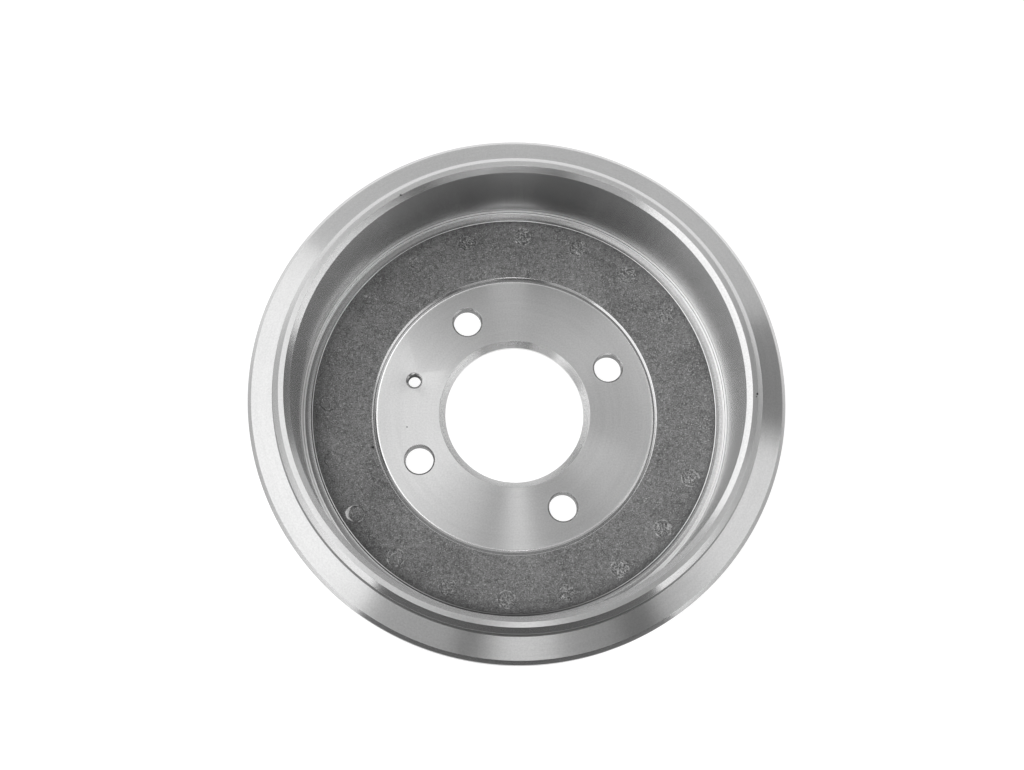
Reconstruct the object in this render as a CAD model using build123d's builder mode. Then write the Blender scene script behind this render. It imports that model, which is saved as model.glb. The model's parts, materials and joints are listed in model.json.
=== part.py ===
from build123d import *
import os
from math import isclose, radians, tan

# Brake drum for a car with four wheel bolts: one grey iron casting, turned where the shoes,
# the hub and the wheel touch it and left as cast elsewhere.
# It lies on its wheel side. The axis of rotation is Z, z = 0 is the face that the wheel is
# clamped against, and the open end for the shoes and the backing plate faces +Z.
# All sizes are in millimetres.

# Hub flange, the machined disc in the middle
hub_thickness = 7.2
hub_face_diameter = 149.0       # flat disc that seats on the axle flange
hub_groove_width = 2.4          # vee groove that parts the disc from the cast web
hub_groove_depth = 1.0
wheel_face_diameter = 154.0     # raised pad that the wheel is clamped against
wheel_face_rise = 1.2           # how far the pad stands out of the cast web

# Centre bore
bore_diameter = 74.8
bore_entry_width = 3.4          # inner chamfer, radial
bore_entry_depth = 3.0          # inner chamfer, axial
bore_exit_chamfer = 1.6

# Bolt holes and the tapped hole for pushing the drum off its hub
bolt_circle_diameter = 114.3
bolt_count = 4
bolt_hole_diameter = 15.0
bolt_hole_chamfer = 0.8
first_bolt_angle = 26.9         # degrees from +X
puller_minor_diameter = 6.8     # core of an M8 thread
puller_countersink = 1.2

# Cast web between the hub flange and the drum wall
web_step = 0.2                  # its inner edge above the hub face
web_slope = 3.5                 # degrees, rising outwards
web_corner_radius = 12.0        # inner corner, as cast
outer_corner_chamfer = 7.0
machining_stock = 3.0           # cast inside the friction surface before turning

# Round marks that the core pins leave on the web
mark_count = 20
mark_diameter = 9.0
mark_circle_diameter = 200.6
mark_depth = 0.35
first_mark_angle = 15.5         # degrees from +X

# Friction surface and the relief that ends it
friction_diameter = 228.6
friction_width = 54.0
friction_setback = 6.4          # its inner end above the hub face
relief_ledge = 1.1              # flat left between the friction surface and the relief
relief_floor_width = 4.2
relief_depth = 2.4
relief_corner_chamfer = 0.8
relief_run_out = 0.7            # slant of the relief's inner side, radial

# Open end
entry_chamfer_width = 2.7
entry_chamfer_depth = 2.4
lip_width = 2.6
shoulder_chamfer = 2.9          # outer edge of the lip
shoulder_height = 6.9           # from the lip down to the foot of the shoulder
shoulder_spread = 0.9           # how far the shoulder's wall leans out to its foot

# Stiffening flange round the open end
flange_width = 13.2             # from the foot of the shoulder to the rim
flange_drop = 9.1               # fall of its sloping face, chamfer included
flange_edge_chamfer = 2.3
flange_rim_height = 7.0
flange_back_slope = 12.0        # degrees
flange_root_chamfer = 4.0
flange_lower_chamfer = 1.2

# Drum wall
wall_thickness = 7.0            # beside the inner end of the friction surface
wall_draft = 1.5                # degrees, opening towards the flange

# Heights and radii that follow
hub_face_radius = hub_face_diameter / 2
wheel_face_radius = wheel_face_diameter / 2
bore_radius = bore_diameter / 2
friction_radius = friction_diameter / 2
friction_start = hub_thickness + friction_setback
chamfer_start = friction_start + friction_width
drum_height = chamfer_start + entry_chamfer_depth

mouth_radius = friction_radius + entry_chamfer_width
lip_radius = mouth_radius + lip_width
shoulder_radius = lip_radius + shoulder_chamfer
foot_radius = shoulder_radius + shoulder_spread
foot_height = drum_height - shoulder_height
flange_radius = foot_radius + flange_width
flange_top = foot_height - flange_drop
flange_bottom = flange_top - flange_rim_height

bolt_circle_radius = bolt_circle_diameter / 2
bolt_hole_radius = bolt_hole_diameter / 2
puller_angle = first_bolt_angle + 1.5 * 360 / bolt_count
mark_circle_radius = mark_circle_diameter / 2

relief_floor = friction_start - relief_depth
relief_outer_radius = friction_radius - relief_ledge
relief_inner_radius = relief_outer_radius - relief_floor_width

cast_bore_radius = friction_radius - machining_stock
wall_radius = friction_radius + wall_thickness
web_inner_radius = hub_face_radius + hub_groove_width
groove_bottom_radius = hub_face_radius + hub_groove_width / 2
pad_edge_radius = wheel_face_radius + wheel_face_rise


def web_height(radius):
    """Height of the web's inner surface at a radius, before its corner curves up."""
    rise = (radius - web_inner_radius) * tan(radians(web_slope))
    return hub_thickness + web_step + rise


def web_back_height(radius):
    """Height of the web's outer surface at a radius, parallel to the inner one."""
    return wheel_face_rise + (radius - pad_edge_radius) * tan(radians(web_slope))


def wall_outside(height):
    """Radius of the drum wall's drafted outer surface at a height."""
    return wall_radius + (height - friction_start) * tan(radians(wall_draft))


def flange_back_height(radius):
    """Height of the flange's sloping back face at a radius."""
    return flange_bottom - (flange_radius - radius) * tan(radians(flange_back_slope))


def corner(sketch, point):
    """The vertex of a sketch that lies at a point of its outline."""
    return sketch.vertices().sort_by_distance((point[0], point[1], 0))[0]


def rims(part, radius):
    """The round edges of the holes of one radius, on both faces of the hub flange."""
    circles = part.edges().filter_by(GeomType.CIRCLE)
    return circles.filter_by(lambda edge: isclose(edge.radius, radius, abs_tol=0.001))


mark_floor = web_height(mark_circle_radius) - mark_depth

# Corners of the cast section, as (radius, height), from the axis round the outside
web_back_corner = (wall_outside(web_back_height(wall_radius)), web_back_height(wall_radius))
flange_root = (wall_outside(flange_bottom), flange_back_height(wall_outside(flange_bottom)))
flange_lower_edge = (flange_radius, flange_bottom)
flange_upper_edge = (flange_radius, flange_top + flange_edge_chamfer)
shoulder_foot = (foot_radius, foot_height)
groove_bottom = (groove_bottom_radius, hub_thickness - hub_groove_depth)
shoulder_top = (shoulder_radius, drum_height - shoulder_chamfer)
web_inner_corner = (cast_bore_radius, web_height(cast_bore_radius))

with BuildPart() as brake_drum:
    # The casting: one closed section turned about the axis
    with BuildSketch(Plane.XZ) as cast_section:
        with BuildLine():
            Polyline(
                (0, 0),
                (wheel_face_radius, 0),
                (pad_edge_radius, wheel_face_rise),
                web_back_corner,
                flange_root,
                flange_lower_edge,
                flange_upper_edge,
                shoulder_foot,
                shoulder_top,
                (lip_radius, drum_height),
                (cast_bore_radius, drum_height),
                web_inner_corner,
                (web_inner_radius, web_height(web_inner_radius)),
                (0, web_height(web_inner_radius)),
                close=True,
            )
        make_face()
        chamfer(corner(cast_section, web_back_corner), outer_corner_chamfer)
        chamfer(corner(cast_section, flange_root), flange_root_chamfer)
        chamfer(corner(cast_section, flange_lower_edge), flange_lower_chamfer)
        chamfer(corner(cast_section, flange_upper_edge), flange_edge_chamfer)
        fillet(corner(cast_section, web_inner_corner), web_corner_radius)
    revolve(axis=Axis.Z)

    # Turning: the friction surface, with the entry chamfer that guides the shoes in
    with BuildSketch(Plane.XZ):
        with BuildLine():
            Polyline(
                (0, friction_start),
                (friction_radius, friction_start),
                (friction_radius, chamfer_start),
                (mouth_radius, drum_height),
                (0, drum_height),
                close=True,
            )
        make_face()
    revolve(axis=Axis.Z, mode=Mode.SUBTRACT)

    # Turning: the relief between the friction surface and the cast web
    with BuildSketch(Plane.XZ) as relief_section:
        with BuildLine():
            Polyline(
                (relief_outer_radius, friction_start),
                (relief_outer_radius, relief_floor),
                (relief_inner_radius, relief_floor),
                (relief_inner_radius - relief_run_out, friction_start),
                close=True,
            )
        make_face()
        chamfer(corner(relief_section, (relief_outer_radius, relief_floor)), relief_corner_chamfer)
    revolve(axis=Axis.Z, mode=Mode.SUBTRACT)

    # Turning: the hub face and the vee groove round it
    with BuildSketch(Plane.XZ):
        with BuildLine():
            Polyline(
                (0, hub_thickness),
                (hub_face_radius, hub_thickness),
                groove_bottom,
                (web_inner_radius, web_height(web_inner_radius)),
                (0, web_height(web_inner_radius)),
                close=True,
            )
        make_face()
    revolve(axis=Axis.Z, mode=Mode.SUBTRACT)

    # Turning: the centre bore, chamfered on both sides
    with BuildSketch(Plane.XZ):
        with BuildLine():
            Polyline(
                (0, 0),
                (bore_radius + bore_exit_chamfer, 0),
                (bore_radius, bore_exit_chamfer),
                (bore_radius, hub_thickness - bore_entry_depth),
                (bore_radius + bore_entry_width, hub_thickness),
                (0, hub_thickness),
                close=True,
            )
        make_face()
    revolve(axis=Axis.Z, mode=Mode.SUBTRACT)

    # Drilling: the wheel bolts' holes
    with BuildSketch(Plane.XY.offset(hub_thickness)):
        with PolarLocations(bolt_circle_radius, bolt_count, start_angle=first_bolt_angle):
            Circle(bolt_hole_radius)
    extrude(amount=-hub_thickness, mode=Mode.SUBTRACT)
    chamfer(rims(brake_drum, bolt_hole_radius), bolt_hole_chamfer)

    # Drilling: the puller's tapped hole, midway between two bolt holes
    with BuildSketch(Plane.XY.offset(hub_thickness)):
        with PolarLocations(bolt_circle_radius, 1, start_angle=puller_angle):
            Circle(puller_minor_diameter / 2)
    extrude(amount=-hub_thickness, mode=Mode.SUBTRACT)
    chamfer(rims(brake_drum, puller_minor_diameter / 2), puller_countersink)

    # Core pin marks: shallow flat pits, cut deeper where the web starts to curve up
    with BuildSketch(Plane.XY.offset(mark_floor)):
        with PolarLocations(mark_circle_radius, mark_count, start_angle=first_mark_angle):
            Circle(mark_diameter / 2)
    extrude(amount=friction_start - mark_floor, mode=Mode.SUBTRACT)

brake_drum.part.label = "brake_drum"

os.makedirs("parts", exist_ok=True)
export_step(brake_drum.part, "parts/brake_drum.step")
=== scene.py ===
"""Looks of the brake drum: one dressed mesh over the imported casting, its materials and the studio.

The drum lies on its wheel side with its open end up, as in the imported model. All lengths are in
metres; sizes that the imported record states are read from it, and the rest are named below.
"""
import json
import math

import bpy
import numpy as np
from mathutils import Matrix, Vector, geometry, noise


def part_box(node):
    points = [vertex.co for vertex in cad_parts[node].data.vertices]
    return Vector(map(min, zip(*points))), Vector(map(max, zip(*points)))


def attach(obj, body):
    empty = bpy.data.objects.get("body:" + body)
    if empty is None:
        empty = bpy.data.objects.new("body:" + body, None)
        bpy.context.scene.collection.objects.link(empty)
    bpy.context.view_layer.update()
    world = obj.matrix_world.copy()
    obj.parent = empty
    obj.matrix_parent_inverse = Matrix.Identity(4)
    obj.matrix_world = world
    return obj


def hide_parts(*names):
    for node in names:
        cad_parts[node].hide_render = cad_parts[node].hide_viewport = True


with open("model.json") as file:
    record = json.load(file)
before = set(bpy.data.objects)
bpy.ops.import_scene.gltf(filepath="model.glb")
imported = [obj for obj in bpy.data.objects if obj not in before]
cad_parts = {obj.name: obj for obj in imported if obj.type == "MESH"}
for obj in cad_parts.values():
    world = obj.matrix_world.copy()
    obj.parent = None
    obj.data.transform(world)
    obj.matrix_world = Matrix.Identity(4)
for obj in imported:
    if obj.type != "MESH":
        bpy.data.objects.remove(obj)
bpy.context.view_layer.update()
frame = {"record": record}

MM = 0.001
NODE = "brake_drum"
BODY = "root"

# ---------------------------------------------------------------------------------------------
# Sizes that the record states
# ---------------------------------------------------------------------------------------------
mounts = {mount["name"]: mount for mount in frame["record"]["mounts"]}


def stated(name, size):
    """A dimension of one of the record's mounts, in metres."""
    return mounts[name]["dims"][size] * MM


friction_radius = stated("friction_surface", "r_mm")
friction_width = stated("friction_surface", "length_mm")
friction_start = mounts["friction_surface"]["pos_m"][2] - friction_width / 2
bore_radius = stated("centre_bore", "r_mm")
bolt_circle_radius = stated("wheel_bolts", "pcd_mm") / 2
bolt_hole_radius = stated("wheel_bolts", "hole_r_mm")
bolt_count = mounts["wheel_bolts"]["dims"]["count"]
hub_thickness = mounts["hub_face"]["pos_m"][2]
puller_core_radius = stated("puller_thread", "r_mm")
puller_place = Vector(mounts["puller_thread"]["pos_m"][:2])
puller_angle = math.atan2(puller_place.y, puller_place.x)
# the tapped hole is midway between two bolt holes
first_bolt_angle = puller_angle - 1.5 * math.tau / bolt_count
drum_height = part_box(NODE)[1][2]

# ---------------------------------------------------------------------------------------------
# Sizes of the section that the record doesn't state
# ---------------------------------------------------------------------------------------------
HUB_FACE_RADIUS = 74.5 * MM
HUB_GROOVE_WIDTH = 2.4 * MM
HUB_GROOVE_DEPTH = 0.65 * MM
HUB_GROOVE_FLOOR = 0.4 * MM
HUB_RIM_WIDTH = 0.6 * MM        # the edge of the hub face, inside the groove, with a painted highlight
WHEEL_FACE_RADIUS = 77.0 * MM
WHEEL_FACE_RISE = 1.2 * MM
BORE_ENTRY_WIDTH = 3.4 * MM
BORE_ENTRY_DEPTH = 3.0 * MM
BORE_EXIT_CHAMFER = 1.6 * MM
BOLT_HOLE_CHAMFER = 0.8 * MM
PULLER_COUNTERSINK = 1.2 * MM
THREAD_PITCH = 1.25 * MM
THREAD_DEPTH = 0.6 * MM
THREAD_STEEPNESS = 2.4          # of the thread's flanks: 2 would leave no flat crest
THREAD_FULLNESS = 0.8           # under 1, so that the flanks bulge
THREAD_FADE_ROWS = 4            # rows of the mesh over which it fades out at each end

WEB_STEP = 0.2 * MM             # the cast web begins this much above the hub face
WEB_SLOPE = math.tan(math.radians(3.5))
WEB_CORNER_RADIUS = 12.0 * MM
MACHINING_STOCK = 3.0 * MM      # what was turned off the cast bore to make the friction surface

RELIEF_LEDGE = 1.1 * MM         # from the relief's outer wall to the friction surface
RELIEF_FLOOR_WIDTH = 4.2 * MM
RELIEF_DEPTH = 2.4 * MM
RELIEF_RUN_OUT = 0.7 * MM       # how far the inner side slants over the relief's depth
RELIEF_FLAT = 1.2 * MM          # the floor's inner part, before it climbs
RELIEF_RISE = 0.6 * MM          # the floor climbs this much towards the friction surface
RELIEF_FOOT = 1.0 * MM          # narrow flat between the climbing floor and the wall

ENTRY_CHAMFER_WIDTH = 2.7 * MM
LIP_WIDTH = 2.6 * MM
SHOULDER_CHAMFER = 2.9 * MM
SHOULDER_HEIGHT = 6.9 * MM
SHOULDER_SPREAD = 0.9 * MM
FLANGE_WIDTH = 13.2 * MM
FLANGE_DROP = 9.1 * MM
FLANGE_EDGE_CHAMFER = 2.3 * MM
FLANGE_RIM_HEIGHT = 7.0 * MM
FLANGE_BACK_SLOPE = math.tan(math.radians(12.0))
WALL_THICKNESS = 7.0 * MM
WALL_DRAFT = math.tan(math.radians(1.5))
OUTER_CORNER_CHAMFER = 7.0 * MM

# Core pin marks: a shallow dip with a thin raised rim and a rough floor
MARK_RADIUS = 4.5 * MM
MARK_CIRCLE_RADIUS = 100.3 * MM
MARK_DEPTH = 0.35 * MM
MARK_EDGE = 0.5 * MM            # width of the step down into a mark
MARK_RIM_HEIGHT = 0.30 * MM
MARK_RIM_WIDTH = 0.38 * MM
MARK_WANDER = 0.6 * MM          # the rim strays by up to this, as a pin print's edge in sand does
MARK_WANDER_SIZE = 2.0 * MM
MARK_LEVELLING = 0.8            # a full mark goes this share of the way down to its flat floor
MARK_ROUGHNESS = 0.62 * MM
MARK_GRAIN_SIZE = 1.15 * MM
MARK_GRAIN_SHIFT = 7.0          # apart in the noise, so that no two marks have the same floor
FIRST_MARK_ANGLE = math.radians(15.5)
# each mark's shares of the full depth and of the full roughness
MARKS = ((0.3, 0.3), (0.6, 0.7), (0.9, 0.9), (1.0, 1.1), (1.3, 1.4), (0.9, 0.9), (0.3, 0.3),
         (0.3, 0.25), (0.2, 0.2), (1.0, 0.1), (1.2, 0.1), (2.6, 0.3), (1.6, 0.4), (1.2, 0.7),
         (1.6, 0.9), (0.8, 1.0), (1.5, 1.2), (2.0, 1.1), (2.0, 0.8), (0.15, 0.2))
MARK_COUNT = len(MARKS)

# Painted highlights on the marks' rims and inner ridges
HIGHLIGHT_DEPTH = 1.3              # rims of marks with at least this share of the depth get painted highlights
MARK_HIGHLIGHT_SIZE = 2.5 * MM
MARK_RIDGE_SIZE = 1.5 * MM
MARK_RIDGE_WIDTH = 0.10         # share of the noise's range that counts as a ridge
# a white crescent of painted glint on the left rim of this mark
CRESCENT_MARK = 11
CRESCENT_START = 1.8 * MM           # the painted glint starts this far to the left of the mark's middle
CRESCENT_SPREAD = 0.3               # and widens by this share of the way further left

# Small pits in the casting: radius and angle of the place, size
WEB_PITS = ((78.4 * MM, math.radians(-165.9), 0.65 * MM),
            (104.0 * MM, math.radians(-146.5), 0.6 * MM),
            (107.5 * MM, math.radians(-144.0), 0.6 * MM),
            (96.0 * MM, math.radians(-149.0), 0.5 * MM))
PIT_DEPTH = 0.8 * MM

# Small dark specks in the turned faces: place and size
SPECKS = (((-57.9 * MM, -8.0 * MM, 7.2 * MM), 0.5 * MM),
          ((119.2 * MM, -3.6 * MM, 70.0 * MM), 0.7 * MM),
          ((118.7 * MM, -5.0 * MM, 70.0 * MM), 0.4 * MM),
          ((-60.9 * MM, 100.0 * MM, 70.0 * MM), 0.7 * MM),
          ((-75.9 * MM, -19.2 * MM, 7.4 * MM), 0.9 * MM))

# Rounding of the section's corners
SHARP_ROUND = 0.15 * MM
TURNED_ROUND = 0.3 * MM
EDGE_ROUND = 0.35 * MM
RELIEF_ROUND = 0.4 * MM
RELIEF_BEND = 4.0 * MM          # where the relief's floor begins to climb
FOOT_ROUND = 0.35 * MM
CAST_ROUND = 1.6 * MM
ROOT_ROUND = 5.0 * MM
CORNER_ROUND = 4.5 * MM

FACE_REACH = 5.0 * MM           # how far a face is followed past its last corner
HOLE_WALL_REACH = 0.02 * MM     # a hole's faces within this of its radius are its wall

# Fineness of the mesh
SEGMENTS = 360                  # round the axis
WEB_SEGMENTS = 3 * SEGMENTS     # round the axis at the web's edges
WEB_SPACING = 0.66 * MM
WEB_ROW_SPACING = WEB_SPACING * 0.866   # rows of even triangles
MARK_SPACING = 0.33 * MM
MARK_PATCH_RADIUS = 5.6 * MM
BORE_SEGMENTS = 240
BOLT_HOLE_SEGMENTS = 72
PULLER_SEGMENTS = 40
THREAD_ROWS_PER_TURN = 10
ARC_STEP = math.radians(24)
HULL_TRIANGLES = 0              # Blender's number for triangles over the whole hull
MERGE_DISTANCE = 1e-9
HALVINGS = 30                   # of a range, to find where two lines cross

WEB_BORDER = 0.5 * MM           # smooth strip along each edge of the web

CAST_GRAIN = 0.11 * MM          # height of the sand grain on the web
CAST_GRAIN_SIZE = 1.1 * MM
CAST_OCTAVES = (0.6, 2.2, 2)    # the grain's finer noise: its fall, its step and its octaves
CAST_PATCH_SIZE = 18.0 * MM     # of the patches where the grain is coarser or finer
CAST_PATCH_CHANGE = 1.2         # by this share of the grain's height
CAST_SWELL = 0.10 * MM          # height of the slower unevenness
CAST_SWELL_SIZE = 9.0 * MM

# Heights and radii that follow
mouth_radius = friction_radius + ENTRY_CHAMFER_WIDTH
lip_radius = mouth_radius + LIP_WIDTH
shoulder_radius = lip_radius + SHOULDER_CHAMFER
foot_radius = shoulder_radius + SHOULDER_SPREAD
foot_height = drum_height - SHOULDER_HEIGHT
flange_radius = foot_radius + FLANGE_WIDTH
flange_top = foot_height - FLANGE_DROP
flange_bottom = flange_top - FLANGE_RIM_HEIGHT
cast_bore_radius = friction_radius - MACHINING_STOCK
wall_radius = friction_radius + WALL_THICKNESS
web_inner_radius = HUB_FACE_RADIUS + HUB_GROOVE_WIDTH
pad_edge_radius = WHEEL_FACE_RADIUS + WHEEL_FACE_RISE
relief_floor = friction_start - RELIEF_DEPTH
relief_outer_radius = friction_radius - RELIEF_LEDGE
relief_inner_radius = relief_outer_radius - RELIEF_FLOOR_WIDTH
relief_foot_height = relief_floor + RELIEF_RISE


def web_line(radius):
    """Height of the coned web at a radius, before its corner curves up."""
    return hub_thickness + WEB_STEP + (radius - web_inner_radius) * WEB_SLOPE


web_arc_radius = cast_bore_radius - WEB_CORNER_RADIUS
web_arc_height = web_line(web_arc_radius) + WEB_CORNER_RADIUS * math.hypot(1, WEB_SLOPE)


def web_height(radius):
    """Height of the web's inner surface at a radius, its corner included."""
    tangent_radius = web_arc_radius + WEB_CORNER_RADIUS * WEB_SLOPE / math.hypot(1, WEB_SLOPE)
    if radius <= tangent_radius:
        return web_line(radius)
    reach = radius - web_arc_radius
    return web_arc_height - math.sqrt(WEB_CORNER_RADIUS ** 2 - reach ** 2)


def web_back_height(radius):
    """Height of the web's hidden side at a radius."""
    return WHEEL_FACE_RISE + (radius - pad_edge_radius) * WEB_SLOPE


def wall_outside(height):
    """Radius of the wall's drafted outside at a height."""
    return wall_radius + (height - friction_start) * WALL_DRAFT


def web_edge():
    """Where the relief's slanted inner side meets the web, as (radius, height)."""
    low, high = relief_inner_radius - RELIEF_RUN_OUT, relief_inner_radius
    for _ in range(HALVINGS):
        middle = (low + high) / 2
        side = relief_floor + (relief_inner_radius - middle) * RELIEF_DEPTH / RELIEF_RUN_OUT
        if web_height(middle) > side:
            high = middle
        else:
            low = middle
    return low, web_height(low)


# ---------------------------------------------------------------------------------------------
# The section
# ---------------------------------------------------------------------------------------------
# Finishes, in the order of drum_materials()
(TURNED, CAST, FRICTION, WEB, EDGE, RIM, BORE, RELIEF, GROOVE, PAINTED_HIGHLIGHT, PAINTED_SHADE, DRILLED, RIM_HIGHLIGHT,
 GLINT_CRESCENT, LEDGE) = range(15)


def rounded(before, at, after, radius):
    """Points of the arc that rounds one corner of the section, ends included."""
    before, at, after = (np.array(p, float) for p in (before, at, after))
    back = (before - at) / np.linalg.norm(before - at)
    on = (after - at) / np.linalg.norm(after - at)
    half = math.acos(max(-1.0, min(1.0, float(back @ on)))) / 2
    cut = radius / math.tan(half)
    centre = at + (back + on) / np.linalg.norm(back + on) * radius / math.sin(half)
    start = at + back * cut - centre
    end = at + on * cut - centre
    sweep = math.pi - 2 * half
    turn = math.copysign(sweep, start[0] * end[1] - start[1] * end[0])
    steps = max(2, round(sweep / ARC_STEP))
    points = []
    for k in range(steps + 1):
        a = turn * k / steps
        points.append(centre + (start[0] * math.cos(a) - start[1] * math.sin(a),
                                start[0] * math.sin(a) + start[1] * math.cos(a)))
    return points


# A corner of the section is its place, the radius of its round, the finish of the face after it
# and the finish of the round.
# Some finishes here are painted light: highlights on small rounds and edges, and shade on the floors
# and walls of grooves and recesses and on the shoulder's wall.
def hub_corners():
    """Corners of the groove between the hub face and the web."""
    middle = HUB_FACE_RADIUS + HUB_GROOVE_WIDTH / 2
    floor = hub_thickness - HUB_GROOVE_DEPTH
    return [
        ((HUB_FACE_RADIUS, hub_thickness), TURNED_ROUND, GROOVE, PAINTED_HIGHLIGHT),
        ((middle - HUB_GROOVE_FLOOR / 2, floor), SHARP_ROUND, PAINTED_SHADE, PAINTED_SHADE),
        ((middle + HUB_GROOVE_FLOOR / 2, floor), SHARP_ROUND, GROOVE, PAINTED_SHADE),
        ((web_inner_radius, web_height(web_inner_radius)), TURNED_ROUND, CAST, PAINTED_HIGHLIGHT),
    ]


def relief_corners():
    """Corners of the relief groove between the web and the friction surface."""
    # Painted light: the ledge, the floor's foot and the rounds beside them carry a painted
    # highlight, and the slanted side, the outer wall and the rounds at the floor's inner corner and
    # the friction surface's foot carry painted shade.
    return [
        (web_edge(), EDGE_ROUND, PAINTED_SHADE, LEDGE),
        ((relief_inner_radius, relief_floor), SHARP_ROUND, RELIEF, PAINTED_SHADE),
        ((relief_inner_radius + RELIEF_FLAT, relief_floor), RELIEF_BEND, RELIEF, RELIEF),
        ((relief_outer_radius - RELIEF_FOOT, relief_foot_height), SHARP_ROUND, LEDGE, LEDGE),
        ((relief_outer_radius, relief_foot_height), RELIEF_ROUND, PAINTED_SHADE, LEDGE),
        ((relief_outer_radius, friction_start), EDGE_ROUND, LEDGE, LEDGE),
        ((friction_radius, friction_start), SHARP_ROUND, FRICTION, PAINTED_SHADE),
    ]


def mouth_corners():
    """Corners of the drum's turned mouth, from the friction surface to the flange's rim."""
    cone = Vector((-FLANGE_WIDTH, FLANGE_DROP - FLANGE_EDGE_CHAMFER)).normalized()
    upper = Vector((flange_radius, flange_top + FLANGE_EDGE_CHAMFER))
    cone_end = upper + cone * FLANGE_EDGE_CHAMFER
    chamfer_end = cone_end.y - (flange_radius - cone_end.x)
    return [
        ((friction_radius, friction_start + friction_width), TURNED_ROUND, EDGE, EDGE),
        ((mouth_radius, drum_height), SHARP_ROUND, TURNED, EDGE),
        ((lip_radius, drum_height), SHARP_ROUND, RIM, TURNED),
        # the shoulder's wall after this corner is darkened with painted shade
        ((shoulder_radius, drum_height - SHOULDER_CHAMFER), TURNED_ROUND, PAINTED_SHADE, RIM),
        ((foot_radius, foot_height), FOOT_ROUND, TURNED, RIM),
        (tuple(cone_end), TURNED_ROUND, RIM, RIM),
        ((flange_radius, chamfer_end), TURNED_ROUND, TURNED, RIM),
    ]


def outside_corners():
    """Corners of the hidden side, from the flange's rim round to the wheel face."""
    root_radius = wall_outside(flange_bottom)
    root_height = flange_bottom - (flange_radius - root_radius) * FLANGE_BACK_SLOPE
    back_height = web_back_height(wall_radius)
    bevel_top = back_height + OUTER_CORNER_CHAMFER
    bevel_radius = wall_outside(back_height) - OUTER_CORNER_CHAMFER
    return [
        ((flange_radius, flange_bottom), CAST_ROUND, CAST, CAST),
        ((root_radius, root_height), ROOT_ROUND, CAST, CAST),
        ((wall_outside(bevel_top), bevel_top), CORNER_ROUND, CAST, CAST),
        ((bevel_radius, web_back_height(bevel_radius)), CORNER_ROUND, CAST, CAST),
        ((pad_edge_radius, WHEEL_FACE_RISE), TURNED_ROUND, TURNED, TURNED),
        ((WHEEL_FACE_RADIUS, 0.0), SHARP_ROUND, TURNED, TURNED),
    ]


def corner_rows(first, corners, last):
    """Rows over a run of corners between two places. See section_rows."""
    places = [first] + [corner[0] for corner in corners] + [last]
    rows = []
    for k, (_, radius, finish, round_finish) in enumerate(corners):
        arc = rounded(places[k], places[k + 1], places[k + 2], radius)
        rows += [(float(r), float(z), round_finish) for r, z in arc]
        rows[-1] = (*rows[-1][:2], finish)
    return rows


def section_rows():
    """Rows of (radius, height, finish of the faces after it), from hub face to wheel face."""
    hub_face = (HUB_FACE_RADIUS - FACE_REACH, hub_thickness)
    wheel_face = (WHEEL_FACE_RADIUS - FACE_REACH, 0.0)
    web_start = web_inner_radius + TURNED_ROUND
    web_end = web_edge()[0] - EDGE_ROUND
    on_web = (web_start + MM, web_height(web_start + MM))
    # the hub face's outer edge carries a painted highlight
    rows = [(HUB_FACE_RADIUS - HUB_RIM_WIDTH, hub_thickness, PAINTED_HIGHLIGHT)]
    rows += corner_rows(hub_face, hub_corners(), on_web)
    rows += [(radius, web_height(radius), WEB)
             for radius in (web_start + WEB_BORDER, web_end - WEB_BORDER)]
    rows += corner_rows((web_end, web_height(web_end)),
                        relief_corners() + mouth_corners() + outside_corners(), wheel_face)
    return rows


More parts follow.
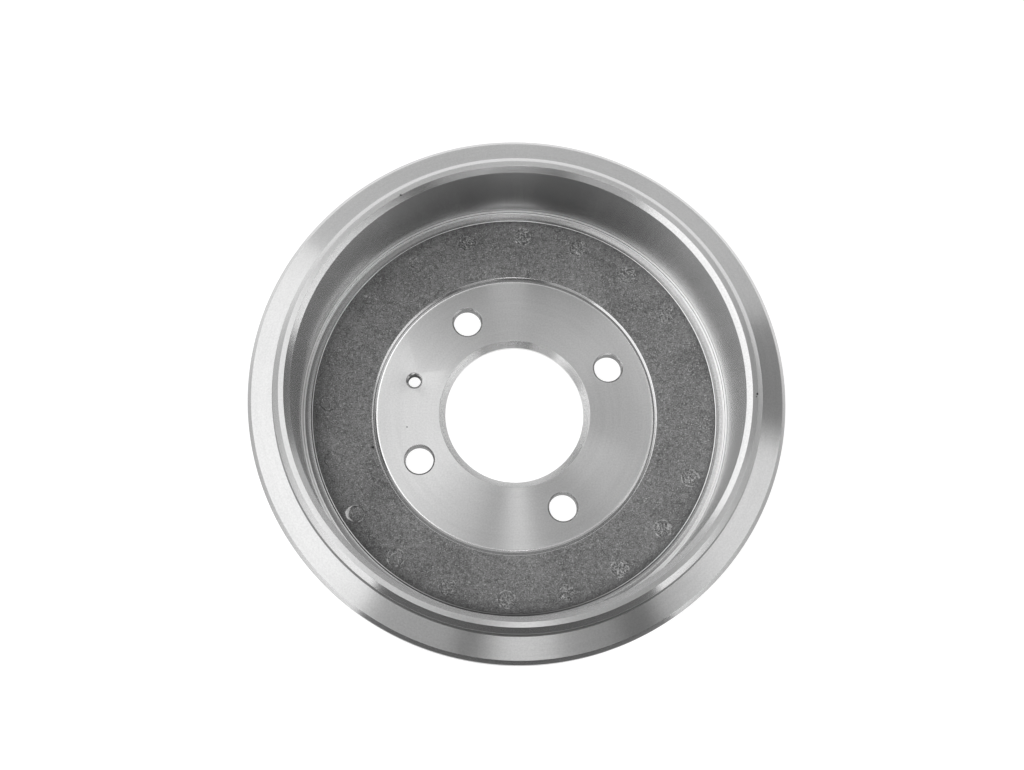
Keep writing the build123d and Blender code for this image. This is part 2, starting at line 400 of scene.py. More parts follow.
# ---------------------------------------------------------------------------------------------
# The mesh
# ---------------------------------------------------------------------------------------------
class Builder:
    """Collects the mesh's vertices and faces."""

    def __init__(self):
        self.points, self.faces, self.finishes = [], [], []

    def ring(self, radius, height, count, centre=(0.0, 0.0)):
        """A ring of vertices about a vertical axis; returns its first index and its count."""
        start = len(self.points)
        for k in range(count):
            a = math.tau * k / count
            self.points.append((centre[0] + radius * math.cos(a),
                                centre[1] + radius * math.sin(a), height))
        return start, count

    def face(self, finish, *corners):
        """One face over the vertices with these numbers."""
        self.faces.append(corners)
        self.finishes.append(finish)

    def band(self, one, other, finish):
        """Faces between two rings; one may have three times as many vertices as the other."""
        (a, count), (b, other_count) = one, other
        if count == other_count:
            for k in range(count):
                n = (k + 1) % count
                self.face(finish, a + k, b + k, b + n, a + n)
        elif other_count == 3 * count:
            for k in range(count):
                n = (k + 1) % count
                fine = [b + (3 * k + i) % other_count for i in range(4)]
                self.face(finish, a + k, fine[0], fine[1])
                self.face(finish, a + k, fine[1], fine[2], a + n)
                self.face(finish, a + n, fine[2], fine[3])
        else:
            for k in range(other_count):
                n = (k + 1) % other_count
                fine = [a + (3 * k + i) % count for i in range(4)]
                self.face(finish, fine[0], b + k, fine[1])
                self.face(finish, fine[1], b + k, b + n, fine[2])
                self.face(finish, fine[2], b + n, fine[3])

    def disc(self, outer, holes, upwards):
        """A flat face between an outer ring and the rings of the holes in it."""
        loops = [outer] + holes
        self.fill([start + k for start, count in loops for k in range(count)], loops, TURNED,
                  upwards)

    def fill(self, indices, loops, finish, upwards):
        """Triangles over given vertices, inside the first loop and outside the others."""
        flat = [Vector(self.points[i][:2]) for i in indices]
        edges, base = [], 0
        for _, count in loops:
            edges += [(base + k, base + (k + 1) % count) for k in range(count)]
            base += count
        found = geometry.delaunay_2d_cdt(flat, edges, [], HULL_TRIANGLES, MERGE_DISTANCE)
        places, triangles, originals = found[0], found[2], found[3]
        rims = [self.rim(loop) for loop in loops]
        for triangle in triangles:
            middle = (places[triangle[0]] + places[triangle[1]] + places[triangle[2]]) / 3
            if ((middle - rims[0][0]).length < rims[0][1]
                    and all((middle - centre).length > radius for centre, radius in rims[1:])):
                corners = [indices[originals[i][0]] for i in triangle]
                self.face(finish, *(corners if upwards else corners[::-1]))

    def rim(self, loop):
        """Centre of a ring and the radius that its straight edges keep clear of."""
        start, count = loop
        ring = [Vector(self.points[start + k][:2]) for k in range(count)]
        centre = sum(ring, Vector((0.0, 0.0))) / count
        return centre, (ring[0] - centre).length * math.cos(math.pi / count)


def mark_centre(number):
    a = FIRST_MARK_ANGLE + number * math.tau / MARK_COUNT
    return MARK_CIRCLE_RADIUS * math.cos(a), MARK_CIRCLE_RADIUS * math.sin(a)


def nearest_mark(x, y):
    """Number of the nearest mark and the distance of a place from that mark's centre."""
    pitch = math.tau / MARK_COUNT
    number = round((math.atan2(y, x) - FIRST_MARK_ANGLE) / pitch) % MARK_COUNT
    return number, math.dist((x, y), mark_centre(number))


def smooth_step(share):
    """A share held between nought and one, with soft ends."""
    share = max(0.0, min(1.0, share))
    return share * share * (3 - 2 * share)


def web_surface(x, y):
    """Height of the finished web at a place: its section, its marks and its cast skin."""
    radius = math.hypot(x, y)
    height = web_height(radius)
    place = Vector((x, y, 0.0))
    number, offset = nearest_mark(x, y)
    depth, roughness = MARKS[number]
    offset += noise.noise(place / MARK_WANDER_SIZE) * MARK_WANDER
    inside = smooth_step((MARK_RADIUS - offset) / MARK_EDGE)
    floor = web_height(MARK_CIRCLE_RADIUS) - MARK_DEPTH
    height += (min(floor, height) - height) * inside * min(1.0, depth) * MARK_LEVELLING
    rim = math.exp(-((offset - MARK_RADIUS) / MARK_RIM_WIDTH) ** 2)
    height += rim * MARK_RIM_HEIGHT * depth
    shift = Vector((0.0, 0.0, MARK_GRAIN_SHIFT * number))
    bumps = noise.noise(place / MARK_GRAIN_SIZE + shift)
    height += inside * bumps * MARK_ROUGHNESS * roughness
    for pit_radius, pit_angle, size in WEB_PITS:
        pit = (pit_radius * math.cos(pit_angle), pit_radius * math.sin(pit_angle))
        height -= PIT_DEPTH * math.exp(-(math.dist((x, y), pit) / size) ** 2)
    return height + cast_relief(place)


def cast_relief(place):
    """Unevenness of the sand-cast skin at a place, in metres."""
    rough = 1.0 + noise.noise(place / CAST_PATCH_SIZE) * CAST_PATCH_CHANGE
    grain = noise.fractal(place / CAST_GRAIN_SIZE, *CAST_OCTAVES) * CAST_GRAIN * rough
    swell = noise.noise(place / CAST_SWELL_SIZE) * CAST_SWELL
    return grain + swell


def staggered_ring(radius, spacing, k):
    """Places evenly round a circle, with every other circle turned by half a step."""
    count = round(math.tau * radius / spacing)
    angles = (math.tau * (i + 0.5 * (k % 2)) / count for i in range(count))
    return [(radius * math.cos(a), radius * math.sin(a)) for a in angles]


def web_points(first, last):
    """Places for the web's vertices: staggered rings, with a finer patch over each mark."""
    places = []
    steps = round((last - first) / WEB_ROW_SPACING)
    for k in range(1, steps):
        ring = staggered_ring(first + (last - first) * k / steps, WEB_SPACING, k)
        places += [place for place in ring if nearest_mark(*place)[1] > MARK_PATCH_RADIUS]
    rings = round(MARK_PATCH_RADIUS / MARK_SPACING)
    for number in range(MARK_COUNT):
        centre_x, centre_y = mark_centre(number)
        places.append((centre_x, centre_y))
        for k in range(1, rings):
            ring = staggered_ring(MARK_PATCH_RADIUS * k / rings, MARK_SPACING, k)
            places += [(centre_x + x, centre_y + y) for x, y in ring]
    return places


def add_web(builder, inner, outer):
    """The cast web between two rings."""
    loops = [outer, inner]
    indices = [start + k for start, count in loops for k in range(count)]
    first, last = (math.dist((0, 0), builder.points[start][:2]) for start, _ in (inner, outer))
    for x, y in web_points(first, last):
        indices.append(len(builder.points))
        builder.points.append((x, y, web_surface(x, y)))
    first_face = len(builder.faces)
    builder.fill(indices, loops, WEB, upwards=True)
    for k in range(first_face, len(builder.faces)):
        corners = [builder.points[i] for i in builder.faces[k]]
        x, y = (sum(corner[i] for corner in corners) / len(corners) for i in (0, 1))
        builder.finishes[k] = mark_finish(x, y)


def mark_finish(x, y):
    """Finish of the web at a place: painted highlights on the marks here and there, and a crescent
    of painted glint on one.
    """
    number, offset = nearest_mark(x, y)
    depth, roughness = MARKS[number]
    off_rim = abs(offset - MARK_RADIUS)
    left = mark_centre(number)[0] - x
    # a white crescent of painted glint on one mark
    if number == CRESCENT_MARK and off_rim < (left - CRESCENT_START) * CRESCENT_SPREAD:
        return GLINT_CRESCENT
    place = Vector((x, y, 0.0))
    # painted highlights on the rims of deep marks and on ridges inside the marks
    lit_rim = depth >= HIGHLIGHT_DEPTH and noise.noise(place / MARK_HIGHLIGHT_SIZE) > 0.0
    ridge = abs(noise.noise(place / MARK_RIDGE_SIZE)) < MARK_RIDGE_WIDTH * roughness
    highlighted = off_rim < MARK_RIM_WIDTH and lit_rim or offset < MARK_RADIUS and ridge
    return RIM_HIGHLIGHT if highlighted else WEB


def add_hole(builder, centre, radius, entry, leave, count, wall, chamfer):
    """A round hole through the hub; returns its top and bottom rings.

    entry and leave are the (width, depth) of its chamfers, above and below.
    """
    top, bottom = radius + entry[0], radius + leave[0]
    corners = [(top + FACE_REACH, hub_thickness), (top, hub_thickness),
               (radius, hub_thickness - entry[1]), (radius, leave[1]),
               (bottom, 0.0), (bottom + FACE_REACH, 0.0)]
    places = []
    for before, at, after in zip(corners, corners[1:], corners[2:]):
        places += rounded(before, at, after, SHARP_ROUND)
    rings = [builder.ring(float(r), float(z), count, centre) for r, z in places]
    narrowest = min(r for r, _ in places)
    for k in range(len(rings) - 1):
        straight = max(places[k][0], places[k + 1][0]) < narrowest + HOLE_WALL_REACH
        builder.band(rings[k + 1], rings[k], wall if straight else chamfer)
    return rings[0], rings[-1]


def add_bore(builder):
    """The centre bore, with its wide entry chamfer."""
    return add_hole(builder, (0.0, 0.0), bore_radius, (BORE_ENTRY_WIDTH, BORE_ENTRY_DEPTH),
                    (BORE_EXIT_CHAMFER, BORE_EXIT_CHAMFER), BORE_SEGMENTS, BORE, BORE)


def add_bolt_hole(builder, angle):
    """A drilled and chamfered bolt hole."""
    centre = (bolt_circle_radius * math.cos(angle), bolt_circle_radius * math.sin(angle))
    chamfer = (BOLT_HOLE_CHAMFER, BOLT_HOLE_CHAMFER)
    return add_hole(builder, centre, bolt_hole_radius, chamfer, chamfer, BOLT_HOLE_SEGMENTS,
                    DRILLED, EDGE)


def thread_depth(height, share):
    """Depth of the full thread at a height and at a share of the turn round its axis."""
    turn = (height / THREAD_PITCH - share) % 1.0
    flank = max(0.0, 1.0 - abs(turn - 0.5) * THREAD_STEEPNESS) ** THREAD_FULLNESS
    return THREAD_DEPTH * flank


def add_puller_hole(builder):
    """The tapped hole: its wall is waved by the thread, which fades out at both countersinks."""
    wide = puller_core_radius + PULLER_COUNTERSINK
    low, high = PULLER_COUNTERSINK, hub_thickness - PULLER_COUNTERSINK
    count = PULLER_SEGMENTS
    rings = [builder.ring(wide, hub_thickness, count, puller_place)]
    rows = round((high - low) / THREAD_PITCH * THREAD_ROWS_PER_TURN)
    for k in range(rows + 1):
        height = high + (low - high) * k / rows
        start, _ = builder.ring(puller_core_radius, height, count, puller_place)
        fade = min(1.0, k / THREAD_FADE_ROWS, (rows - k) / THREAD_FADE_ROWS)
        for i in range(count):
            radius = puller_core_radius + thread_depth(height, i / count) * fade
            a = math.tau * i / count
            builder.points[start + i] = (puller_place.x + radius * math.cos(a),
                                         puller_place.y + radius * math.sin(a), height)
        rings.append((start, count))
    rings.append(builder.ring(wide, 0.0, count, puller_place))
    for upper, lower in zip(rings, rings[1:]):
        builder.band(lower, upper, RELIEF if upper is rings[0] else DRILLED)
    return rings[0], rings[-1]


def build_drum():
    """The whole casting as one closed mesh."""
    builder = Builder()
    rows = section_rows()
    web = [k for k, row in enumerate(rows) if row[2] == WEB]
    rings = [builder.ring(radius, height, WEB_SEGMENTS if k in web else SEGMENTS)
             for k, (radius, height, _) in enumerate(rows)]
    for k in range(len(rows) - 1):
        if k != web[0]:
            builder.band(rings[k], rings[k + 1], rows[k][2])
    add_web(builder, rings[web[0]], rings[web[1]])

    holes = [add_bore(builder)]
    for k in range(bolt_count):
        holes.append(add_bolt_hole(builder, first_bolt_angle + k * math.tau / bolt_count))
    holes.append(add_puller_hole(builder))
    builder.disc(rings[0], [top for top, _ in holes], upwards=True)
    builder.disc(rings[-1], [bottom for _, bottom in holes], upwards=False)
    return builder


def make_object(name, builder, materials):
    """The collected mesh as an object, smooth over its rounds and flat on its faces."""
    mesh = bpy.data.meshes.new(name)
    mesh.from_pydata(builder.points, [], builder.faces)
    for material in materials:
        mesh.materials.append(material)
    mesh.polygons.foreach_set("material_index", np.array(builder.finishes, np.int32))
    mesh.polygons.foreach_set("use_smooth", np.ones(len(mesh.polygons), bool))
    mesh.update()
    made = bpy.data.objects.new(name, mesh)
    bpy.context.collection.objects.link(made)
    made.modifiers.new("even normals", "WEIGHTED_NORMAL").mode = "FACE_AREA"
    return made


# ---------------------------------------------------------------------------------------------
# Materials
# ---------------------------------------------------------------------------------------------
# Turned iron. A pitch is the size of a noise across the tool's path, a sweep says how fast it
# changes round the axis, and a scale counts its grains in a metre. A weight is a noise's share of
# the colour.
FINE_PITCH, FINE_SWEEP = 1.5 * MM, 3.0
BAND_PITCH, BAND_SWEEP = 3.0 * MM, 0.8
STAIN_SCALE = 24.0
IRON_GRAIN_SCALE = 1100.0
BAND_WEIGHT, STAIN_WEIGHT = 0.15, 0.2
NOISE_RANGE = (0.3, 0.7)        # what one noise spans, but for its rarest values
MIXED_NOISE_RANGE = (0.38, 0.62)  # and what a mix of noises spans
TOOL_GROOVE = 0.005 * MM        # depth of the lathe tool's grooves
TURNED_GRAIN = 0.005 * MM       # height of the iron's grain in a turned face
QUARTER_TURN = 0.25             # turns the stretched highlights across the tool's path
IRON_SPECK_GREY = 0.06
SPECK_CORE = 0.5                # share of a speck's size that is fully dark
REFLECTION_SHADE_START = 0.72                # cosine of the angle from its middle at which the painted shade begins
# sides darkened by painted shade in place of dark reflections: the ledge's, then the friction
# surface's
NEAR_SIDE = (0.0, -1.0, 0.0)
REFLECTION_SHADE_SIDE = (math.cos(math.radians(85.0)), math.sin(math.radians(85.0)), 0.0)

# Drilled iron
DRILLED_SCALE, DRILLED_HEIGHT = 1300.0, 0.02 * MM
DRILLED_RANGE = (0.35, 0.65)
DRILLED_DARK, DRILLED_LIGHT = 0.13, 0.24
DRILLED_ROUGHNESS = (0.35, 0.5)
DRILLED_METALLIC = 0.9

# Cast skin
FACET_SCALE, FACET_HEIGHT, FACET_WEIGHT = 1500.0, 0.07 * MM, 0.55
SAND_SCALE, SAND_HEIGHT, SAND_WEIGHT = 480.0, 0.06 * MM, 0.25
PATCH_SCALE, PATCH_WEIGHT = 45.0, 0.2
GLINT_RANGE = (0.68, 0.74)      # of the facets' noise: where the painted glints begin, and where they are full
GLINT_STRENGTH, GLINT_GREY = 0.6, 0.75
SAND_SPECK_GREY = 0.03
SAND_ROUGHNESS = (0.6, 0.4)     # in the noise's hollows and on its peaks
SAND_METALLIC = 0.6
# Painted shade in the corner where the web meets the relief
CORNER_SHADE_GREY = 0.05
CORNER_SHADE_RADIUS = 98.0 * MM    # from here outwards painted shade slowly darkens the web
SLOW_CORNER_SHADE = 0.4           # how far it has darkened at its outer edge
EDGE_SHADE_LINE = 0.6 * MM        # width of a darker line of painted shade along that edge
EDGE_LINE_SHADE = 0.85


class Nodes:
    """A material's node tree, built by short calls."""

    def __init__(self, name):
        self.material = bpy.data.materials.new(name)
        self.material.use_nodes = True
        self.tree = self.material.node_tree
        self.tree.nodes.clear()
        self.output = self.tree.nodes.new("ShaderNodeOutputMaterial")

    def add(self, kind, values=None, **settings):
        """A node with its settings; values are numbers for its inputs, or sockets to link."""
        made = self.tree.nodes.new("ShaderNode" + kind)
        for key, value in settings.items():
            setattr(made, key, value)
        for key, value in (values or {}).items():
            if isinstance(value, bpy.types.NodeSocket):
                self.tree.links.new(value, made.inputs[key])
            else:
                made.inputs[key].default_value = value
        return made

    def math(self, operation, *values):
        return self.add("Math", dict(enumerate(values)), operation=operation).outputs[0]

    def weighted(self, *pairs):
        """The sum of values, each times its weight."""
        parts = [self.math("MULTIPLY", value, weight) for value, weight in pairs]
        total = parts[0]
        for part in parts[1:]:
            total = self.math("ADD", total, part)
        return total

    def stretch(self, value, low, high, to_low=0.0, to_high=1.0):
        """A value mapped from one range to another and held inside it."""
        return self.add("MapRange", {"Value": value, "From Min": low, "From Max": high,
                                     "To Min": to_low, "To Max": to_high}).outputs[0]

    def place(self):
        """The place in the drum's own axes."""
        return self.add("TexCoord").outputs["Object"]

    def vector(self, operation, *values):
        return self.add("VectorMath", dict(enumerate(values)), operation=operation).outputs

    def noise(self, vector, scale, detail=2.0, w=None, roughness=0.5):
        """A noise from nought to one; w is its fourth coordinate."""
        values = {"Vector": vector, "Scale": scale, "Detail": detail, "Roughness": roughness}
        if w is None:
            return self.add("TexNoise", values).outputs["Fac"]
        values["W"] = w
        return self.add("TexNoise", values, noise_dimensions="4D").outputs["Fac"]

    def blend(self, share, one, other):
        """A mix of two colours."""
        made = self.add("Mix", {0: share, 6: one, 7: other}, data_type="RGBA")
        return made.outputs[2]

    def bump(self, height, distance, normal=None):
        """A normal that follows a height; distance is the height's range in metres."""
        values = {"Height": height, "Distance": distance, "Strength": 1.0}
        if normal is not None:
            values["Normal"] = normal
        return self.add("Bump", values).outputs[0]

    def finish(self, shader):
        """The material, with this shader on its surface."""
        self.tree.links.new(shader, self.output.inputs["Surface"])
        return self.material


def grey(value):
    return (value, value, value, 1.0)


def from_axis(nodes, operation):
    """LENGTH or NORMALIZE of the way from the drum's axis to the place."""
    flat = nodes.vector("MULTIPLY", nodes.place(), (1.0, 1.0, 0.0))[0]
    return nodes.vector(operation, flat)


def radius_of(nodes):
    """Distance from the drum's axis."""
    return from_axis(nodes, "LENGTH")["Value"]


def outwards(nodes):
    """Unit vector that points away from the drum's axis."""
    return from_axis(nodes, "NORMALIZE")[0]


def lathe_noise(nodes, pitch, sweep, detail):
    """A noise that changes fast across the tool's path, and slowly along it."""
    height = nodes.add("SeparateXYZ", {0: nodes.place()}).outputs[2]
    turn = nodes.add("SeparateXYZ", {0: outwards(nodes)}).outputs
    vector = nodes.add("CombineXYZ", {0: nodes.math("DIVIDE", radius_of(nodes), pitch),
                                      1: nodes.math("MULTIPLY", turn[0], sweep),
                                      2: nodes.math("MULTIPLY", turn[1], sweep)}).outputs[0]
    return nodes.noise(vector, 1.0, detail, nodes.math("DIVIDE", height, pitch))


def leaning_normal(nodes, lean):
    """The surface's normal, leaning away from the axis as the flanks of the tool's grooves do."""
    leaning = nodes.add("VectorMath", {0: outwards(nodes), "Scale": lean}, operation="SCALE")
    normal = nodes.add("NewGeometry").outputs["Normal"]
    both = nodes.vector("ADD", normal, leaning.outputs[0])[0]
    return nodes.vector("NORMALIZE", both)[0]


def specked(nodes, colour, speck_grey):
    """A colour with the dark specks on it."""
    found = 0.0
    for centre, size in SPECKS:
        gap = nodes.vector("DISTANCE", nodes.place(), centre)["Value"]
        near = nodes.stretch(gap, size * SPECK_CORE, size, 1.0, 0.0)
        found = nodes.math("MAXIMUM", near, found)
    return nodes.blend(found, colour, grey(speck_grey))


def painted_dark_reflection(nodes, colour, towards, strength):
    """A colour darkened by painted shade, which is strongest in one direction from the axis.

    The painted shade stands in for dark reflections that the lamps don't give in the camera's view.
    """
    side = nodes.vector("DOT_PRODUCT", outwards(nodes), towards)["Value"]
    return nodes.blend(nodes.stretch(side, REFLECTION_SHADE_START, 1.0, 0.0, strength), colour, grey(0.0))


def turned_metal(name, light, dark, roughness, anisotropy, lean=0.0, streaks=0.12,
                 relief=1.0, reflection_shade=None):
    """Bare grey iron cut on a lathe: bright, with fine grooves round the axis.

    light and dark are the greys that it varies between. streaks is the weight of the grooves in
    its colour, and relief scales its unevenness. The last argument gives the direction in which
    painted shade darkens it, in place of dark reflections, and the shade's strength.
    """
    nodes = Nodes(name)
    fine = lathe_noise(nodes, FINE_PITCH, FINE_SWEEP, detail=1.0)
    bands = lathe_noise(nodes, BAND_PITCH, BAND_SWEEP, detail=2.0)
    stain = nodes.noise(nodes.place(), STAIN_SCALE, detail=4.0)
    grain = nodes.noise(nodes.place(), IRON_GRAIN_SCALE, detail=3.0, roughness=0.6)
    share = nodes.weighted((bands, BAND_WEIGHT), (fine, streaks), (stain, STAIN_WEIGHT),
                           (grain, 1.0 - BAND_WEIGHT - STAIN_WEIGHT - streaks))
    colour = nodes.blend(nodes.stretch(share, *MIXED_NOISE_RANGE), grey(dark), grey(light))
    # painted shade on one side, in place of dark reflections
    if reflection_shade:
        colour = painted_dark_reflection(nodes, colour, *reflection_shade)
    colour = specked(nodes, colour, IRON_SPECK_GREY)
    normal = nodes.bump(fine, TOOL_GROOVE * relief, leaning_normal(nodes, lean))
    normal = nodes.bump(grain, TURNED_GRAIN * relief, normal)
    tangent = nodes.add("Tangent", direction_type="RADIAL", axis="Z").outputs[0]
    shader = nodes.add("BsdfPrincipled", {"Base Color": colour, "Metallic": 1.0,
                                          "Roughness": roughness, "Anisotropic": anisotropy,
                                          "Anisotropic Rotation": QUARTER_TURN,
                                          "Normal": normal, "Tangent": tangent})
    return nodes.finish(shader.outputs[0])


def drilled_metal():
    """The dull dark wall of a drilled hole."""
    nodes = Nodes("drilled_iron")
    grain = nodes.noise(nodes.place(), DRILLED_SCALE, detail=3.0)
    colour = nodes.blend(nodes.stretch(grain, *DRILLED_RANGE),
                         grey(DRILLED_DARK), grey(DRILLED_LIGHT))
    rough = nodes.stretch(grain, *NOISE_RANGE, *DRILLED_ROUGHNESS)
    shader = nodes.add("BsdfPrincipled", {"Base Color": colour, "Metallic": DRILLED_METALLIC,
                                          "Roughness": rough,
                                          "Normal": nodes.bump(grain, DRILLED_HEIGHT)})
    return nodes.finish(shader.outputs[0])


def painted_corner_shade(nodes, end):
    """How far painted shade darkens the web: slowly up to the radius end, and fast just before it.
    """
    radius = radius_of(nodes)
    slow = nodes.stretch(radius, CORNER_SHADE_RADIUS, end, 0.0, SLOW_CORNER_SHADE)
    line = nodes.stretch(radius, end - EDGE_SHADE_LINE, end, 0.0, EDGE_LINE_SHADE)
    return nodes.math("MAXIMUM", slow, line)


def cast_iron(name, dark=0.13, light=0.36, shade_end=None):
    """Sand-cast skin: dull dark grey grains with small painted glints.

    dark and light are the greys that it varies between. The last argument is the radius of the
    corner towards which painted shade darkens the skin.
    """
    nodes = Nodes(name)
    fine = nodes.noise(nodes.place(), FACET_SCALE, detail=1.0, roughness=0.6)
    grains = nodes.noise(nodes.place(), SAND_SCALE, detail=2.0, roughness=0.6)
    patches = nodes.noise(nodes.place(), PATCH_SCALE, detail=3.0)
    share = nodes.weighted((fine, FACET_WEIGHT), (grains, SAND_WEIGHT), (patches, PATCH_WEIGHT))
    colour = nodes.blend(nodes.stretch(share, *MIXED_NOISE_RANGE), grey(dark), grey(light))
    # painted glints: a light grey on the peaks of the facets' noise
    glint = nodes.math("MULTIPLY", nodes.stretch(fine, *GLINT_RANGE), GLINT_STRENGTH)
    colour = nodes.blend(glint, colour, grey(GLINT_GREY))
    colour = specked(nodes, colour, SAND_SPECK_GREY)
    # painted shade towards the web's corner
    if shade_end:
        colour = nodes.blend(painted_corner_shade(nodes, shade_end), colour, grey(CORNER_SHADE_GREY))
    rough = nodes.stretch(grains, *NOISE_RANGE, *SAND_ROUGHNESS)
    normal = nodes.bump(fine, FACET_HEIGHT, nodes.bump(grains, SAND_HEIGHT))
    shader = nodes.add("BsdfPrincipled", {"Base Color": colour, "Metallic": SAND_METALLIC,
                                          "Roughness": rough, "Normal": normal})
    return nodes.finish(shader.outputs[0])


def drum_materials():
    """The drum's materials, in the order of the finishes."""
    # turned_metal's numbers are its light and dark greys, its roughness and its anisotropy
    return (
        turned_metal("turned_iron", 0.70, 0.59, 0.30, 0.9, lean=0.09, relief=0.45),
        cast_iron("cast_skin"),
        # the friction surface is darkened on one side by painted shade, in place of dark reflections
        turned_metal("friction_iron", 0.78, 0.74, 0.23, 0.85, streaks=0.03, relief=0.08,
                     reflection_shade=(REFLECTION_SHADE_SIDE, 0.55)),
        # painted shade darkens the web towards its corner with the relief
        cast_iron("web_skin", shade_end=web_edge()[0] - WEB_BORDER),
        turned_metal("edge_iron", 0.70, 0.60, 0.24, 0.5, relief=0.12),
        turned_metal("rim_iron", 0.64, 0.56, 0.17, 0.4, relief=0.5),
        turned_metal("bore_iron", 0.80, 0.72, 0.22, 0.7, relief=0.15),
        turned_metal("relief_iron", 0.48, 0.38, 0.20, 0.5, relief=0.5),
        turned_metal("groove_iron", 0.66, 0.56, 0.16, 0.3, relief=0.4),
        # light grey: painted highlights on small rounds and the hub face's edge
        turned_metal("bright_iron", 0.90, 0.80, 0.14, 0.3, relief=0.4),
        # dark grey: painted shade on groove floors, recess walls and the shoulder's wall
        turned_metal("dull_iron", 0.26, 0.18, 0.30, 0.3),
        drilled_metal(),
        # a lighter grey: painted highlights on the marks' rims and ridges
        cast_iron("rubbed_skin", dark=0.32, light=0.62),
        # near white: a crescent of painted glint on one mark's rim
        cast_iron("chipped_skin", dark=0.90, light=1.0),
        # near white: a painted highlight on the relief's ledge and its rounds, with painted shade on
        # its near side in place of dark reflections
        turned_metal("ledge_iron", 0.95, 0.88, 0.34, 0.2, relief=0.3, reflection_shade=(NEAR_SIDE, 0.8)),
    )


# ---------------------------------------------------------------------------------------------
# Studio
# ---------------------------------------------------------------------------------------------
FLOOR_COLOUR = 0.6
FLOOR_POOL_COLOUR = 0.25        # duller under the pool of light, which is bright enough alone
FLOOR_GLOW = 0.92               # what the camera and reflections see on top of the lit floor
FLOOR_SIZE = 12.0
FLOOR_POOL_CENTRE = (-0.03, 0.07, 0.0)
FLOOR_POOL_SIZE = (0.37, 0.29)  # half sizes of the white pool of light round the drum
FLOOR_POOL_POWER = 4.0          # 2 would make it an ellipse, and more squares it
FLOOR_FADE = 1.2                # it falls to a plain pale grey at this many times its size
WORLD_LIGHT = 0.12
PANEL_DISTANCE = 2.5            # from the drum's axis to the upright panels
OVERHEAD_HEIGHT = 2.5

# Upright panels: azimuth of the middle, width, lowest and highest elevation, in degrees as seen
# from the drum's foot, and radiance
UPRIGHT_PANELS = {
    "left_panel": (181.0, 96.0, 0.5, 58.0, 1.35),
    "back_panel": (82.0, 104.0, 12.0, 55.0, 0.68),
    "low_back_panel": (82.0, 104.0, 0.5, 12.0, 0.45),
    "low_right_panel": (11.0, 38.0, 0.5, 10.0, 0.5),
    "right_front_panel": (291.0, 20.0, 27.0, 52.0, 0.45),
    "middle_right_front_panel": (336.0, 52.0, 13.0, 26.0, 1.35),
    "low_right_front_panel": (339.0, 52.0, 0.5, 13.0, 1.6),
    "upper_right_front_panel": (347.0, 34.0, 42.0, 58.0, 1.8),
    "front_strip": (274.0, 18.0, 40.0, 64.0, 3.0),
    "left_front_panel": (242.0, 26.0, 15.0, 60.0, 0.43),
}
# Overhead panels: leftmost, rightmost, nearest and farthest lean from the vertical, in degrees,
# and radiance
OVERHEAD_PANELS = {
    "overhead_panel": (-32.0, -3.0, -12.0, 28.0, 1.35),
    "overhead_fill": (-3.0, 22.0, -5.0, 34.0, 0.42),
    "overhead_strip": (1.0, 6.0, -35.0, -7.0, 1.6),
    "overhead_near_fill": (7.0, 28.0, -32.0, -6.0, 0.3),
}


def studio_floor():
    """A floor that is white round the drum, and plain pale grey further out.

    The white is only there for the camera and in reflections, and little of the drum's shadow
    shows on it, as in the photograph.
    """
    nodes = Nodes("studio_floor")
    path = nodes.add("LightPath").outputs
    seen = nodes.math("MAXIMUM", path["Is Camera Ray"],
                      nodes.math("MAXIMUM", path["Is Glossy Ray"], path["Is Transmission Ray"]))
    offset = nodes.vector("SUBTRACT", nodes.place(), FLOOR_POOL_CENTRE)[0]
    parts = nodes.add("SeparateXYZ", {0: offset}).outputs
    shares = (nodes.math("ABSOLUTE", nodes.math("DIVIDE", part, size))
              for part, size in zip(parts, FLOOR_POOL_SIZE))
    across, along = (nodes.math("POWER", share, FLOOR_POOL_POWER) for share in shares)
    distance = nodes.math("POWER", nodes.math("ADD", across, along), 1.0 / FLOOR_POOL_POWER)
    bright = nodes.stretch(distance, 1.0, FLOOR_FADE, FLOOR_GLOW, 0.0)
    colour = nodes.blend(nodes.stretch(distance, 1.0, FLOOR_FADE),
                         grey(FLOOR_POOL_COLOUR), grey(FLOOR_COLOUR))
    diffuse = nodes.add("BsdfDiffuse", {"Color": colour}).outputs[0]
    glow = nodes.add("Emission", {"Color": grey(1.0),
                                  "Strength": nodes.math("MULTIPLY", seen, bright)}).outputs[0]
    return nodes.finish(nodes.add("AddShader", {0: diffuse, 1: glow}).outputs[0])


def add_floor():
    bpy.ops.mesh.primitive_plane_add(size=FLOOR_SIZE)
    floor = bpy.context.object
    floor.name = "floor"
    floor.data.materials.append(studio_floor())


def add_panel(name, place, facing, width, height, radiance):
    """A soft box at a place, facing a direction."""
    lamp = bpy.data.lights.new(name, "AREA")
    lamp.shape, lamp.size, lamp.size_y = "RECTANGLE", width, height
    lamp.energy = radiance * math.pi * width * height
    made = bpy.data.objects.new(name, lamp)
    made.location = place
    made.rotation_mode = "QUATERNION"
    made.rotation_quaternion = (-Vector(facing)).to_track_quat("Z", "Y")
    made.visible_camera = False
    bpy.context.collection.objects.link(made)


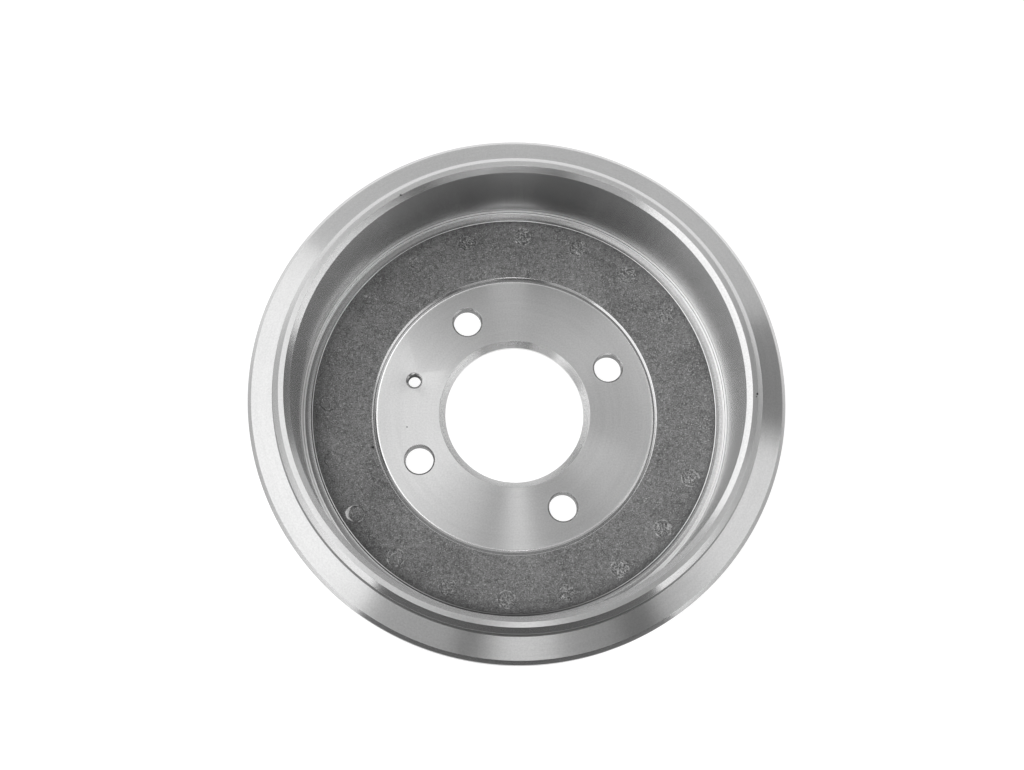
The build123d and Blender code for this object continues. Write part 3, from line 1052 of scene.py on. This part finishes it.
def add_upright_panel(name, azimuth, width, lowest, highest, radiance):
    """A soft box that stands beside the drum. See UPRIGHT_PANELS."""
    a = math.radians(azimuth)
    low, high = (PANEL_DISTANCE * math.tan(math.radians(e)) for e in (lowest, highest))
    away = Vector((math.cos(a), math.sin(a), 0.0))
    add_panel(name, away * PANEL_DISTANCE + Vector((0.0, 0.0, (low + high) / 2)), -away,
              2 * PANEL_DISTANCE * math.tan(math.radians(width / 2)), high - low, radiance)


def add_overhead_panel(name, left, right, near, far, radiance):
    """A soft box that hangs over the drum. See OVERHEAD_PANELS."""
    left, right, near, far = (OVERHEAD_HEIGHT * math.tan(math.radians(lean))
                              for lean in (left, right, near, far))
    add_panel(name, ((left + right) / 2, (near + far) / 2, OVERHEAD_HEIGHT), (0.0, 0.0, -1.0),
              right - left, far - near, radiance)


def add_world():
    world = bpy.data.worlds.new("studio")
    world.use_nodes = True
    background = world.node_tree.nodes["Background"]
    background.inputs["Color"].default_value = grey(1.0)
    background.inputs["Strength"].default_value = WORLD_LIGHT
    bpy.context.scene.world = world


# The photograph's camera, fitted to the drum's rings and bolt holes
CAMERA_PLACE = Vector((-0.0283, -0.1767, 0.7695))
CAMERA_RIGHT = Vector((0.99938, 0.0, 0.0352))
CAMERA_UP = Vector((-0.0086, 0.9696, 0.2445))
CAMERA_LENS = 50.96             # in millimetres, as is the sensor's width
CAMERA_SENSOR = 36.0
CAMERA_CLIP = (0.01, 50.0)


def add_camera():
    data = bpy.data.cameras.new("camera")
    data.lens, data.sensor_width = CAMERA_LENS, CAMERA_SENSOR
    data.clip_start, data.clip_end = CAMERA_CLIP
    camera = bpy.data.objects.new("camera", data)
    right = CAMERA_RIGHT.normalized()
    back = right.cross(CAMERA_UP).normalized()
    up = back.cross(right)
    turn = Matrix((right, up, back)).transposed().to_4x4()
    camera.matrix_world = Matrix.Translation(CAMERA_PLACE) @ turn
    bpy.context.collection.objects.link(camera)
    bpy.context.scene.camera = camera


def main():
    bpy.context.scene.view_settings.view_transform = "Standard"
    add_world()
    for name, panel in UPRIGHT_PANELS.items():
        add_upright_panel(name, *panel)
    for name, panel in OVERHEAD_PANELS.items():
        add_overhead_panel(name, *panel)
    add_floor()
    add_camera()
    drum = make_object("drum", build_drum(), drum_materials())
    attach(drum, BODY)
    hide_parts(NODE)


main()
bpy.context.view_layer.update()
